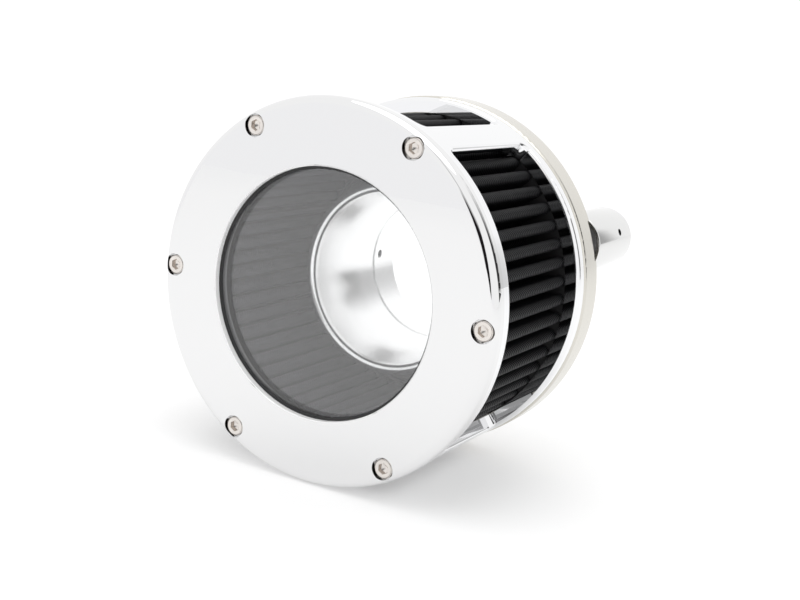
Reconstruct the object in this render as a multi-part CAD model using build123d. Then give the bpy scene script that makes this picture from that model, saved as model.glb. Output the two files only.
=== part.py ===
"""Round billet air cleaner for a V-twin motorcycle, built as a bench assembly.

Frame: millimetres. The origin is the centre of the rear face that meets the throttle
body, +Y points back into the throttle body along the air path, and +Z is up. The
cleaner therefore looks towards -Y. Places along the air path are given as a depth
behind the front face of the face ring, and y_at() turns a depth into a Y coordinate.
Angles are seen from the front, from +X towards +Z.
"""
from build123d import *
import os
from math import cos, degrees, hypot, radians, sin, sqrt
from typing import NamedTuple


class ScrewSize(NamedTuple):
    """Sizes of one screw: radii, head height, width across flats and socket depth."""

    shank_r: float
    head_r: float
    head_h: float
    flats: float
    socket: float


# ---------------------------------------------------------------- driving sizes
BODY_R = 75.0            # outer radius of the face ring and the back plate
FACE_WIDTH = 26.15       # radial width of the ring's face, from window to rim
BORE_R = 30.2            # air bore that meets the throttle body

# lengths along the air path, front to rear
RING_T = 6.0
FRONT_FLANGE_T = 6.3
WINDOW_LENGTH = 64.9
REAR_FLANGE_T = 5.3
PLATE_T = 13.1
ADAPTER_STAND = 12.4     # adapter face behind the back plate

# fits and small steps
RUNNING_GAP = 0.06       # radial, a cover screw in the holes it backs out of
COVER_HEAD_GAP = 0.55    # radial, a cover screw head in its counterbore
HEAD_GAP = 0.2           # radial, other heads in their counterbores
HEAD_RECESS = 0.7        # head below the face it is sunk in
TIP_GAP = 0.4            # hole beyond a screw's tip
BODY_GAP = 0.3           # between pieces that come apart along the air path
ELEMENT_GAP = 0.4        # radial, the element in the cage
SEAT_GAP = 0.2           # radial, the lens in its seat
FUSE = 0.1               # overlap of two shapes that are joined into one
EDGE_BREAK = 0.4         # small chamfer on machined edges
REAR_EDGE_BREAK = 0.8    # larger chamfer on the plate's and adapter's rear edges
PLATE_EDGE_R = 1.6       # rounding of the plate's front edge

# fasteners
SCREW_10 = ScrewSize(shank_r=2.4, head_r=3.95, head_h=3.5, flats=3.97, socket=2.2)
SCREW_6 = ScrewSize(shank_r=1.75, head_r=2.85, head_h=2.9, flats=2.78, socket=1.7)
SCREW_M3 = ScrewSize(shank_r=1.5, head_r=2.8, head_h=1.5, flats=2.0, socket=1.0)
THROTTLE_BOLT_HOLE_R = 3.4
THROTTLE_COUNTERBORE_R = 5.1
THROTTLE_COUNTERBORE_DEPTH = 6.5
THROTTLE_BOLT_ANGLE = 90.0
ADAPTER_SCREW_ANGLE = 30.0
ADAPTER_THREAD = 8.0

# face ring and lens
RING_LIP = 2.6           # thickness of the lip in front of the lens gasket
RING_EDGE_R = 3.3        # rounding of the ring's outer front edge
COVER_SCREWS = 6
COVER_SCREW_INSET = 5.5  # screw circle inside the rim
LENS_OVERLAP = 5.15      # lens seat outside the window
GASKET_T = 1.0
GASKET_STEP_IN = 1.2     # gasket's inner edge inside the window
RETAINER_T = 2.5
RETAINER_STEP_OUT = 0.75
RETAINER_WIDTH = 11.9
RETAINER_SCREW_OUTSET = 3.6
RETAINER_SCREWS = 6
RETAINER_FIRST_ANGLE = 30.0

# cage
CAGE_STEP = 0.6          # cage inside the ring's rim
CAGE_WALL = 3.0
FLANGE_LAND = 0.8        # metal between a cover screw and the front flange's bore
REAR_FLANGE_WIDTH = 6.2
BARS = 3
BAR_FIRST_ANGLE = 60.0
BAR_WIDTH = 14.5
WINDOW_CORNER_R = 3.5
WINDOW_EDGE_R = 1.7      # rounding of the windows' outer edges
PAD_LENGTH = 8.0         # thick inner pad at the rear root of each bar
CAGE_SCREW_REACH = 4.5   # thread in the pad beyond the rear flange

# filter element
PLEAT_DEPTH = 16.3
PLEAT_SETBACK = 0.5      # pleats start behind the window's front edge
REAR_SEAL_T = 3.9
SEAL_STEP_IN = 0.8
SEAM_ANGLE = 153.0
SEAM_WIDTH = 1.6
SEAM_T = 0.9

# velocity stack and throttle adapter
BELL_SHARE = 0.37        # share of the gap from throat to element that the bell fills
BELL_STAND = 29.1        # lip circle in front of the back plate
BELL_BELLY = 0.75        # bow of the bell's wall
LIP_BEAD_R = 2.3
THROAT_STEP = 0.2        # throat radius over the bore
THROAT_FLARE = 0.4
STACK_WALL = 2.0
SPIGOT_WALL = 2.6
SPIGOT_LENGTH = 7.8
STACK_FLANGE_WIDTH = 2.4
STACK_FLANGE_T = 2.0
LEAD_IN = 0.6            # taper at the mouth of the adapter's bore
LEAD_IN_LENGTH = 1.1
ADAPTER_WALL = 3.5
ADAPTER_RIM = 6.0        # flange rim outside the bolt circle
BOLT_LAND = 0.4          # metal between the adapter's sleeve and a bolt's counterbore
O_RING_SECTION = 1.8
O_RING_DEPTH = 1.2
STACK_GROOVE_SETBACK = 3.1
FACE_RING_WALL = 2.6     # metal between the bore and the rear face's o-ring
FACE_RING_WIDTH = 2.8

# breather bolts and standoffs
BREATHER_INSET = 11.0    # bolt circle inside the rim
BREATHER_ANGLE = 18.49
BREATHER_BOLT_R = 4.76
BREATHER_HOLE_GAP = 0.14
SHANK_RELIEF = 0.3       # plain shank inside the thread's radius
BREATHER_HEAD_R = 7.1
BREATHER_HEAD_GAP = 0.5
BREATHER_HEX = 5.56
BREATHER_SOCKET = 2.6
BREATHER_COUNTERBORE_DEPTH = 6.0
WASHER_T = 1.0
WAIST_CUT = 1.1
WAIST_INSET = 0.85
CROSS_HOLE_R = 1.3
HOLLOW_R = 1.8
THREAD_LENGTH = 12.0     # free end of the bolt behind the standoff
POCKET_DEPTH = 2.4
POCKET_GAP = 0.5
BREATHER_SEAL_T = 3.8
BREATHER_SEAL_STEP = 2.3
STANDOFF_R = 12.9
STANDOFF_LENGTH = 38.6
STANDOFF_EDGE_R = 1.8
HEAD_SEAL_INSET = 3.5
HEAD_SEAL_WIDTH = 2.2
PASSAGE_R = 1.6
PASSAGE_START = 1.5      # drilling starts inside the bore's wall
PASSAGE_MOUTH = 0.6      # its mouth behind the back plate
VENT_R = 1.5
VENT_FROM_END = 14.5
VENT_RISE = 22.0         # vent turned up from level

# ---------------------------------------------------------------- worked-out places
# depths behind the front face
RING_REAR = RING_T
WINDOW_FRONT = RING_REAR + FRONT_FLANGE_T
WINDOW_REAR = WINDOW_FRONT + WINDOW_LENGTH
PLATE_FRONT = WINDOW_REAR + REAR_FLANGE_T
PLATE_REAR = PLATE_FRONT + PLATE_T
REACH = PLATE_REAR + ADAPTER_STAND

COUNTERBORE_DEPTH = SCREW_10.head_h + HEAD_RECESS
LENS_FRONT = RING_LIP + GASKET_T
RETAINER_REAR = RING_REAR + RETAINER_T
CAGE_SCREW_SEAT = PLATE_REAR - SCREW_6.head_h - HEAD_RECESS
CAGE_SCREW_TIP = WINDOW_REAR - CAGE_SCREW_REACH
PLEAT_FRONT = WINDOW_FRONT + PLEAT_SETBACK
PLEAT_REAR = PLATE_FRONT - REAR_SEAL_T
LIP_DEPTH = PLATE_FRONT - BELL_STAND
STACK_END = PLATE_FRONT + SPIGOT_LENGTH
STACK_GROOVE = PLATE_FRONT + STACK_GROOVE_SETBACK
BREATHER_SEAT = PLATE_FRONT + BREATHER_COUNTERBORE_DEPTH
POCKET_FLOOR = PLATE_REAR - POCKET_DEPTH
WAIST_DEPTH = (BREATHER_SEAT + POCKET_FLOOR) / 2
STANDOFF_FRONT = POCKET_FLOOR + BREATHER_SEAL_T
STANDOFF_REAR = STANDOFF_FRONT + STANDOFF_LENGTH
BREATHER_TIP = STANDOFF_REAR + THREAD_LENGTH

# radii
CAGE_R = BODY_R - CAGE_STEP
WINDOW_R = BODY_R - FACE_WIDTH
COVER_SCREW_CIRCLE = BODY_R - COVER_SCREW_INSET
LENS_SEAT_R = WINDOW_R + LENS_OVERLAP
RETAINER_INNER_R = WINDOW_R + RETAINER_STEP_OUT
RETAINER_OUTER_R = RETAINER_INNER_R + RETAINER_WIDTH
RETAINER_SCREW_CIRCLE = LENS_SEAT_R + RETAINER_SCREW_OUTSET
FRONT_FLANGE_BORE = COVER_SCREW_CIRCLE - SCREW_10.shank_r - FLANGE_LAND
REAR_FLANGE_BORE = CAGE_R - REAR_FLANGE_WIDTH
CAGE_SCREW_CIRCLE = CAGE_R - REAR_FLANGE_WIDTH / 2
BAR_SPAN = degrees(BAR_WIDTH / CAGE_R)
FILTER_OUTER_R = REAR_FLANGE_BORE - ELEMENT_GAP
FILTER_INNER_R = FILTER_OUTER_R - PLEAT_DEPTH
FRONT_SEAL_OUTER_R = FRONT_FLANGE_BORE - ELEMENT_GAP
THROAT_R = BORE_R + THROAT_STEP
LIP_R = THROAT_R + BELL_SHARE * (FILTER_INNER_R - THROAT_R)
SPIGOT_R = THROAT_R + SPIGOT_WALL
ADAPTER_SLEEVE_R = SPIGOT_R + ADAPTER_WALL
BOLT_CIRCLE_R = ADAPTER_SLEEVE_R + BOLT_LAND + THROTTLE_COUNTERBORE_R
ADAPTER_FLANGE_R = BOLT_CIRCLE_R + ADAPTER_RIM
FACE_RING_INNER = BORE_R + FACE_RING_WALL
FACE_RING_OUTER = FACE_RING_INNER + FACE_RING_WIDTH
BREATHER_CIRCLE = BODY_R - BREATHER_INSET
BREATHER_HOLE_R = BREATHER_BOLT_R + BREATHER_HOLE_GAP
HEAD_SEAL_OUTER = STANDOFF_R - HEAD_SEAL_INSET
HEAD_SEAL_INNER = HEAD_SEAL_OUTER - HEAD_SEAL_WIDTH


# ---------------------------------------------------------------- small helpers
def y_at(depth):
    """Y coordinate of a depth behind the front face."""
    return depth - REACH


def on_circle(radius, count, first=0.0):
    """(x, z) places of count points on a circle, the first at an angle in degrees."""
    angles = [radians(first + 360.0 * k / count) for k in range(count)]
    return [(radius * cos(a), radius * sin(a)) for a in angles]


def turned(outline):
    """Solid of revolution about Y from (radius, depth) corners."""
    corners = [(radius, y_at(depth)) for radius, depth in outline]
    return revolve(make_face(Polyline(*corners, close=True)), Axis.Y)


def tube(outer, inner, front, rear):
    """Plain ring between two depths."""
    return turned([(inner, front), (outer, front), (outer, rear), (inner, rear)])


def rod(radius, start, end, x=0.0, z=0.0):
    """Round bar along Y between two depths, centred on (x, z)."""
    middle = Pos(x, y_at((start + end) / 2), z)
    return middle * Rot(90, 0, 0) * Cylinder(radius, abs(end - start))


def taper(front_r, rear_r, front, rear, x=0.0, z=0.0):
    """Cone along Y between two depths, centred on (x, z)."""
    place = Pos(x, y_at((front + rear) / 2), z) * Rot(90, 0, 0)
    return place * Cone(rear_r, front_r, rear - front).mirror(Plane.XY)


def hexagon(across_flats, start, end, x=0.0, z=0.0):
    """Hexagonal bar along Y, used as the hollow of a socket head."""
    rear = max(start, end)
    profile = Plane.XZ.offset(-y_at(rear)) * RegularPolygon(across_flats / sqrt(3), 6)
    return Pos(x, 0, z) * extrude(profile, abs(end - start))


def sector(inner, outer, front, rear, centre, span):
    """Part of a ring between two depths, covering span degrees about an angle."""
    corners = [(inner, y_at(front)), (outer, y_at(front)), (outer, y_at(rear)), (inner, y_at(rear))]
    face = make_face(Polyline(*corners, close=True))
    return Rot(0, -(centre + span / 2), 0) * revolve(face, Axis.Y, revolution_arc=span)


def without(shape, cutters):
    """Shape less each cutter."""
    for cutter in cutters:
        shape = shape - cutter
    return shape


def circles_at(shape, radius, depth):
    """Circular edges of a shape with a radius, lying at a depth."""
    edges = shape.edges().filter_by(GeomType.CIRCLE)
    height = y_at(depth)
    return [e for e in edges if abs(e.radius - radius) < 0.01 and abs(e.center().Y - height) < 0.01]


def cap_screw(size, seat, tip, x, z):
    """Socket head screw: its head stands on the far side of the seat from its tip."""
    towards_tip = 1 if tip > seat else -1
    head_end = seat - towards_tip * size.head_h
    head = rod(size.head_r, head_end, seat, x, z)
    head = chamfer(circles_at(head, size.head_r, head_end), EDGE_BREAK)
    socket = hexagon(size.flats, head_end - towards_tip, head_end + towards_tip * size.socket, x, z)
    return head - socket + rod(size.shank_r, seat - towards_tip * FUSE, tip, x, z)


# ---------------------------------------------------------------- cover
def front_ring():
    """Polished face ring: flat face, rounded edge, window, lens seat and screw holes."""
    ring = turned([
        (WINDOW_R, 0), (BODY_R, 0), (BODY_R, RING_REAR), (LENS_SEAT_R, RING_REAR),
        (LENS_SEAT_R, RING_LIP), (WINDOW_R, RING_LIP),
    ])
    ring = fillet(circles_at(ring, BODY_R, 0), RING_EDGE_R)
    ring = chamfer(circles_at(ring, WINDOW_R, 0), EDGE_BREAK)
    ring = chamfer(circles_at(ring, BODY_R, RING_REAR), EDGE_BREAK)
    cutters = []
    for x, z in on_circle(COVER_SCREW_CIRCLE, COVER_SCREWS):
        cutters.append(rod(SCREW_10.head_r + COVER_HEAD_GAP, -1, COUNTERBORE_DEPTH, x, z))
        cutters.append(rod(SCREW_10.shank_r + RUNNING_GAP, 0, RING_REAR + 1, x, z))
    for x, z in on_circle(RETAINER_SCREW_CIRCLE, RETAINER_SCREWS, RETAINER_FIRST_ANGLE):
        cutters.append(rod(SCREW_M3.shank_r, RING_LIP, RING_REAR + 1, x, z))
    return without(ring, cutters)


def lens_gasket():
    """Black flat gasket between the ring's lip and the lens."""
    return tube(LENS_SEAT_R - SEAT_GAP, WINDOW_R - GASKET_STEP_IN, RING_LIP, LENS_FRONT)


def window_lens():
    """Clear disc seated in the ring."""
    lens = rod(LENS_SEAT_R - SEAT_GAP, LENS_FRONT, RING_REAR)
    return chamfer(circles_at(lens, LENS_SEAT_R - SEAT_GAP, RING_REAR), EDGE_BREAK)


def lens_retainer():
    """Flat ring that clamps the lens from behind, with countersunk holes."""
    ring = tube(RETAINER_OUTER_R, RETAINER_INNER_R, RING_REAR, RETAINER_REAR)
    cutters = []
    for x, z in on_circle(RETAINER_SCREW_CIRCLE, RETAINER_SCREWS, RETAINER_FIRST_ANGLE):
        cutters.append(rod(SCREW_M3.shank_r, RING_REAR - 1, RETAINER_REAR + 1, x, z))
        cutters.append(countersink(x, z))
    return without(ring, cutters)


def countersink(x, z):
    """Cone of a retainer screw's head, flush with the retainer's rear face."""
    front = RETAINER_REAR - SCREW_M3.head_h
    return taper(SCREW_M3.shank_r, SCREW_M3.head_r, front, RETAINER_REAR, x, z)


def lens_retainer_screws():
    """Countersunk screws driven from the back of the retainer into the face ring."""
    head_front = RETAINER_REAR - SCREW_M3.head_h
    socket_floor = RETAINER_REAR - SCREW_M3.socket
    screws = []
    for x, z in on_circle(RETAINER_SCREW_CIRCLE, RETAINER_SCREWS, RETAINER_FIRST_ANGLE):
        shank = rod(SCREW_M3.shank_r, RING_LIP + TIP_GAP, head_front + FUSE, x, z)
        socket = hexagon(SCREW_M3.flats, socket_floor, RETAINER_REAR + 1, x, z)
        screws.append(shank + countersink(x, z) - socket)
    return Compound(screws)


def cover_screws():
    """Socket head screws through the face ring into the cage's front flange."""
    places = on_circle(COVER_SCREW_CIRCLE, COVER_SCREWS)
    tip = WINDOW_FRONT - TIP_GAP
    return Compound([cap_screw(SCREW_10, COUNTERBORE_DEPTH, tip, x, z) for x, z in places])


# ---------------------------------------------------------------- cage
def cage():
    """One-piece cage: two flanges joined by bars, with tall windows between them."""
    bar_inner_r = CAGE_R - CAGE_WALL
    pad_front = WINDOW_REAR - PAD_LENGTH
    shell = turned([
        (FRONT_FLANGE_BORE, RING_REAR), (CAGE_R, RING_REAR), (CAGE_R, PLATE_FRONT),
        (REAR_FLANGE_BORE, PLATE_FRONT), (REAR_FLANGE_BORE, pad_front),
        (bar_inner_r, pad_front), (bar_inner_r, WINDOW_FRONT), (FRONT_FLANGE_BORE, WINDOW_FRONT),
    ])
    shell = chamfer(circles_at(shell, CAGE_R, PLATE_FRONT), EDGE_BREAK)
    shell = chamfer(circles_at(shell, CAGE_R, RING_REAR), EDGE_BREAK)
    step = 360.0 / BARS
    windows = []
    for k in range(BARS):
        centre = BAR_FIRST_ANGLE + step * (k + 0.5)
        window = sector(REAR_FLANGE_BORE - BAR_WIDTH, CAGE_R + CAGE_WALL, WINDOW_FRONT,
                        WINDOW_REAR, centre, step - BAR_SPAN)
        straight = window.edges().filter_by(GeomType.LINE)
        radial = straight.filter_by(lambda edge: abs(edge.tangent_at(0.5).Y) < 0.01)
        windows.append(fillet(radial, WINDOW_CORNER_R))
    shell = without(shell, windows)
    shell = fillet(window_rims(shell, windows), WINDOW_EDGE_R)
    cutters = []
    for x, z in on_circle(COVER_SCREW_CIRCLE, COVER_SCREWS):
        cutters.append(rod(SCREW_10.shank_r + RUNNING_GAP, RING_REAR - 1, WINDOW_FRONT + FUSE, x, z))
    for x, z in on_circle(CAGE_SCREW_CIRCLE, BARS, BAR_FIRST_ANGLE):
        hole_front = CAGE_SCREW_TIP - TIP_GAP
        cutters.append(rod(SCREW_6.shank_r, hole_front, PLATE_FRONT + 1, x, z))
    return without(shell, cutters)


def window_rims(shell, windows):
    """Edges where the windows open through the cage's outer wall."""
    rims = []
    for edge in shell.edges():
        middle = edge @ 0.5
        on_wall = abs(hypot(middle.X, middle.Z) - CAGE_R) < 0.01
        if on_wall and any(window.distance_to(middle) < 0.01 for window in windows):
            rims.append(edge)
    return rims


def cage_screws():
    """Screws from behind the back plate into the pads at the bars' roots."""
    places = on_circle(CAGE_SCREW_CIRCLE, BARS, BAR_FIRST_ANGLE)
    return Compound([cap_screw(SCREW_6, CAGE_SCREW_SEAT, CAGE_SCREW_TIP, x, z) for x, z in places])


# ---------------------------------------------------------------- filter element
def filter_media():
    """Pleated gauze wall, as the plain ring that its pleats fill."""
    return tube(FILTER_OUTER_R, FILTER_INNER_R, PLEAT_FRONT, PLEAT_REAR)


def filter_front_seal():
    """Moulded end ring that stands just behind the lens retainer."""
    front = RETAINER_REAR + BODY_GAP
    return tube(FRONT_SEAL_OUTER_R, FILTER_INNER_R - SEAL_STEP_IN, front, PLEAT_FRONT)


def filter_rear_seal():
    """Moulded end ring that meets the back plate."""
    return tube(FILTER_OUTER_R, FILTER_INNER_R - SEAL_STEP_IN, PLEAT_REAR, PLATE_FRONT)


def filter_seam_strip():
    """Strip that closes the joint of the pleated wall on its inner side."""
    span = degrees(SEAM_WIDTH / FILTER_INNER_R)
    return sector(FILTER_INNER_R - SEAM_T, FILTER_INNER_R, PLEAT_FRONT, PLEAT_REAR, SEAM_ANGLE, span)


# ---------------------------------------------------------------- air path
def velocity_stack():
    """Spun intake bell with a rolled lip, a locating flange and a spigot."""
    flange_front = y_at(PLATE_FRONT - STACK_FLANGE_T)
    flange_rear = y_at(PLATE_FRONT)
    flange_r = SPIGOT_R + STACK_FLANGE_WIDTH
    base_inner = (THROAT_R + THROAT_FLARE, flange_front)
    base_outer = (base_inner[0] + STACK_WALL, flange_front)
    lip_inner = (LIP_R - LIP_BEAD_R, y_at(LIP_DEPTH))
    lip_outer = (lip_inner[0] + STACK_WALL, y_at(LIP_DEPTH))
    middle = (base_inner[1] + lip_inner[1]) / 2
    inner_mid = ((base_inner[0] + lip_inner[0]) / 2 - BELL_BELLY, middle)
    outer_mid = ((base_outer[0] + lip_outer[0]) / 2 - BELL_BELLY, middle)
    outline = [
        ThreePointArc(base_inner, inner_mid, lip_inner),
        Line(lip_inner, lip_outer),
        ThreePointArc(lip_outer, outer_mid, base_outer),
        Polyline(base_outer, (flange_r, flange_front), (flange_r, flange_rear),
                 (SPIGOT_R, flange_rear), (SPIGOT_R, y_at(STACK_END)),
                 (THROAT_R, y_at(STACK_END)), base_inner),
    ]
    bell = revolve(make_face(outline), Axis.Y)
    bead = revolve(Pos(LIP_R, y_at(LIP_DEPTH)) * Circle(LIP_BEAD_R), Axis.Y)
    groove = tube(SPIGOT_R + 1, SPIGOT_R - O_RING_DEPTH, STACK_GROOVE, STACK_GROOVE + O_RING_SECTION)
    return bell + bead - groove


def stack_o_ring():
    """O-ring in the groove of the stack's spigot."""
    return tube(SPIGOT_R, SPIGOT_R - O_RING_DEPTH, STACK_GROOVE, STACK_GROOVE + O_RING_SECTION)


def throttle_adapter():
    """Flanged sleeve behind the back plate that carries the stack and meets the throttle body."""
    step = STACK_END + BODY_GAP
    sleeve = turned([
        (SPIGOT_R, PLATE_FRONT), (ADAPTER_SLEEVE_R, PLATE_FRONT),
        (ADAPTER_SLEEVE_R, PLATE_REAR), (ADAPTER_FLANGE_R, PLATE_REAR),
        (ADAPTER_FLANGE_R, REACH), (BORE_R, REACH), (BORE_R, step + LEAD_IN_LENGTH),
        (BORE_R + LEAD_IN, step), (SPIGOT_R, step),
    ])
    sleeve = chamfer(circles_at(sleeve, ADAPTER_FLANGE_R, REACH), REAR_EDGE_BREAK)
    cutters = [tube(FACE_RING_OUTER, FACE_RING_INNER, REACH - O_RING_SECTION, REACH + 1)]
    for x, z in on_circle(BOLT_CIRCLE_R, 3, THROTTLE_BOLT_ANGLE):
        cutters.append(rod(THROTTLE_BOLT_HOLE_R, PLATE_REAR - 1, REACH + 1, x, z))
    for x, z in on_circle(BOLT_CIRCLE_R, 3, ADAPTER_SCREW_ANGLE):
        hole_end = PLATE_REAR + ADAPTER_THREAD + TIP_GAP
        cutters.append(rod(SCREW_10.shank_r, PLATE_REAR - 1, hole_end, x, z))
    for x, z in breather_places().values():
        cutters.append(rod(STANDOFF_R + POCKET_GAP, PLATE_REAR, REACH + 1, x, z))
    return without(sleeve, cutters + breather_passages())


def throttle_o_ring():
    """O-ring in the rear face of the adapter."""
    return tube(FACE_RING_OUTER, FACE_RING_INNER, REACH - O_RING_SECTION, REACH)


def adapter_screws():
    """Socket head screws that hold the adapter against the back plate."""
    seat = PLATE_FRONT + COUNTERBORE_DEPTH
    tip = PLATE_REAR + ADAPTER_THREAD
    places = on_circle(BOLT_CIRCLE_R, 3, ADAPTER_SCREW_ANGLE)
    return Compound([cap_screw(SCREW_10, seat, tip, x, z) for x, z in places])


# ---------------------------------------------------------------- back plate and breathers
def breather_places():
    """(x, z) of the right and the left breather bolt."""
    x = BREATHER_CIRCLE * cos(radians(BREATHER_ANGLE))
    z = BREATHER_CIRCLE * sin(radians(BREATHER_ANGLE))
    return {"right": (x, z), "left": (-x, z)}


def breather_passages():
    """Angled drillings from the bore wall to each breather bolt's waist."""
    drillings = []
    for x, z in breather_places().values():
        side = 1 if x > 0 else -1
        mouth = Vector(side * (BORE_R - PASSAGE_START), y_at(PLATE_REAR + PASSAGE_MOUTH), 0)
        end = Vector(x, y_at(WAIST_DEPTH), z)
        direction = end - mouth
        drill = Cylinder(PASSAGE_R, direction.length, align=(Align.CENTER, Align.CENTER, Align.MIN))
        drillings.append(Plane(origin=mouth, z_dir=direction) * drill)
    return drillings


def back_plate():
    """Thick round plate that everything is fastened to."""
    plate = tube(BODY_R, ADAPTER_SLEEVE_R, PLATE_FRONT, PLATE_REAR)
    plate = fillet(circles_at(plate, BODY_R, PLATE_FRONT), PLATE_EDGE_R)
    plate = chamfer(circles_at(plate, BODY_R, PLATE_REAR), REAR_EDGE_BREAK)
    cutters = []
    for x, z in on_circle(BOLT_CIRCLE_R, 3, THROTTLE_BOLT_ANGLE):
        floor = PLATE_FRONT + THROTTLE_COUNTERBORE_DEPTH
        cutters.append(rod(THROTTLE_BOLT_HOLE_R, PLATE_FRONT - 1, PLATE_REAR + 1, x, z))
        cutters.append(rod(THROTTLE_COUNTERBORE_R, PLATE_FRONT - 1, floor, x, z))
    for x, z in on_circle(BOLT_CIRCLE_R, 3, ADAPTER_SCREW_ANGLE):
        floor = PLATE_FRONT + COUNTERBORE_DEPTH
        cutters.append(rod(SCREW_10.shank_r, PLATE_FRONT - 1, PLATE_REAR + 1, x, z))
        cutters.append(rod(SCREW_10.head_r + HEAD_GAP, PLATE_FRONT - 1, floor, x, z))
    for x, z in on_circle(CAGE_SCREW_CIRCLE, BARS, BAR_FIRST_ANGLE):
        cutters.append(rod(SCREW_6.shank_r, PLATE_FRONT - 1, PLATE_REAR + 1, x, z))
        cutters.append(rod(SCREW_6.head_r + HEAD_GAP, CAGE_SCREW_SEAT, PLATE_REAR + 1, x, z))
    for x, z in breather_places().values():
        head_hole_r = BREATHER_HEAD_R + BREATHER_HEAD_GAP
        cutters.append(rod(BREATHER_HOLE_R, PLATE_FRONT - 1, PLATE_REAR + 1, x, z))
        cutters.append(rod(head_hole_r, PLATE_FRONT - 1, BREATHER_SEAT, x, z))
        cutters.append(rod(STANDOFF_R + POCKET_GAP, POCKET_FLOOR, PLATE_REAR + 1, x, z))
    return without(plate, cutters + breather_passages())


def breather_bolt(x, z):
    """Hollow bolt: socket head, waist with a cross hole, plain shank and threaded free end."""
    head_front = PLATE_FRONT + BODY_GAP
    head_rear = BREATHER_SEAT - WASHER_T
    bolt = rod(BREATHER_HEAD_R, head_front, head_rear, x, z)
    bolt = chamfer(circles_at(bolt, BREATHER_HEAD_R, head_front), EDGE_BREAK)
    shank = rod(BREATHER_BOLT_R - SHANK_RELIEF, head_rear - FUSE, STANDOFF_REAR + FUSE, x, z)
    thread = rod(BREATHER_BOLT_R, STANDOFF_REAR, BREATHER_TIP, x, z)
    thread = chamfer(circles_at(thread, BREATHER_BOLT_R, BREATHER_TIP), REAR_EDGE_BREAK)
    waist = tube(BREATHER_BOLT_R + 1, BREATHER_BOLT_R - WAIST_CUT, BREATHER_SEAT + WAIST_INSET,
                 POCKET_FLOOR - WAIST_INSET)
    cross_hole = Pos(x, y_at(WAIST_DEPTH), z) * Rot(0, 90, 0) * Cylinder(CROSS_HOLE_R, 3 * BREATHER_BOLT_R)
    hollow = rod(HOLLOW_R, WAIST_DEPTH, BREATHER_TIP + 1, x, z)
    socket = hexagon(BREATHER_HEX, head_front - 1, head_front + BREATHER_SOCKET, x, z)
    return without(bolt + shank + thread, [Pos(x, 0, z) * waist, cross_hole, hollow, socket])


def breather_washer(x, z):
    """Sealing washer under the breather bolt's head."""
    front = BREATHER_SEAT - WASHER_T
    hole = rod(BREATHER_HOLE_R, front - 1, BREATHER_SEAT + 1, x, z)
    return rod(BREATHER_HEAD_R, front, BREATHER_SEAT, x, z) - hole


def breather_seal(x, z):
    """Black washer between the back plate's pocket and the standoff."""
    disc = rod(STANDOFF_R - BREATHER_SEAL_STEP, POCKET_FLOOR, STANDOFF_FRONT, x, z)
    return disc - rod(BREATHER_HOLE_R, POCKET_FLOOR - 1, STANDOFF_FRONT + 1, x, z)


def breather_standoff(x, z):
    """Polished spacer between the back plate and the cylinder head."""
    body = rod(STANDOFF_R, STANDOFF_FRONT, STANDOFF_REAR, x, z)
    body = fillet(circles_at(body, STANDOFF_R, STANDOFF_REAR), STANDOFF_EDGE_R)
    body = chamfer(circles_at(body, STANDOFF_R, STANDOFF_FRONT), EDGE_BREAK)
    groove = tube(HEAD_SEAL_OUTER, HEAD_SEAL_INNER, STANDOFF_REAR - O_RING_SECTION, STANDOFF_REAR + 1)
    bore = rod(BREATHER_HOLE_R, STANDOFF_FRONT - 1, STANDOFF_REAR + 1, x, z)
    outward = 1 if x > 0 else -1
    middle = Pos(x, y_at(STANDOFF_REAR - VENT_FROM_END), z) * Rot(0, -outward * VENT_RISE, 0)
    drill = Rot(0, 90, 0) * Cylinder(VENT_R, STANDOFF_R + 1)
    vent = middle * Pos(outward * STANDOFF_R / 2, 0, 0) * drill
    return without(body, [Pos(x, 0, z) * groove, bore, vent])


def head_seal(x, z):
    """Seal ring in the standoff's rear face, against the cylinder head."""
    front = STANDOFF_REAR - O_RING_SECTION
    return Pos(x, 0, z) * tube(HEAD_SEAL_OUTER, HEAD_SEAL_INNER, front, STANDOFF_REAR)


# ---------------------------------------------------------------- write the parts
def build_nodes():
    """Every node of the assembly by name."""
    nodes = {
        "front_ring": front_ring(),
        "lens_gasket": lens_gasket(),
        "window_lens": window_lens(),
        "lens_retainer": lens_retainer(),
        "lens_retainer_screws": lens_retainer_screws(),
        "cover_screws": cover_screws(),
        "cage": cage(),
        "cage_screws": cage_screws(),
        "filter_media": filter_media(),
        "filter_front_seal": filter_front_seal(),
        "filter_rear_seal": filter_rear_seal(),
        "filter_seam_strip": filter_seam_strip(),
        "velocity_stack": velocity_stack(),
        "stack_o_ring": stack_o_ring(),
        "throttle_adapter": throttle_adapter(),
        "throttle_o_ring": throttle_o_ring(),
        "adapter_screws": adapter_screws(),
        "back_plate": back_plate(),
    }
    makers = {
        "breather_bolt": breather_bolt,
        "breather_washer": breather_washer,
        "breather_seal": breather_seal,
        "breather_standoff": breather_standoff,
        "head_seal": head_seal,
    }
    for side, (x, z) in breather_places().items():
        for name, maker in makers.items():
            nodes[f"{name}_{side}"] = maker(x, z)
    return nodes


def main():
    """Write one STEP file for each node."""
    os.makedirs("parts", exist_ok=True)
    for name, shape in build_nodes().items():
        export_step(shape, f"parts/{name}.step")


main()
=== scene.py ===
"""Looks of the round billet air cleaner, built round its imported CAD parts.

Everything is in metres in the frame of the parts: the origin is the centre of the face
that meets the throttle body, +Y points back along the air path and +Z is up.
"""

import logging
import math
from dataclasses import dataclass
from enum import Enum
from typing import Callable, Optional, Sequence, Union

import bpy
from mathutils import Matrix, Vector


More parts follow.
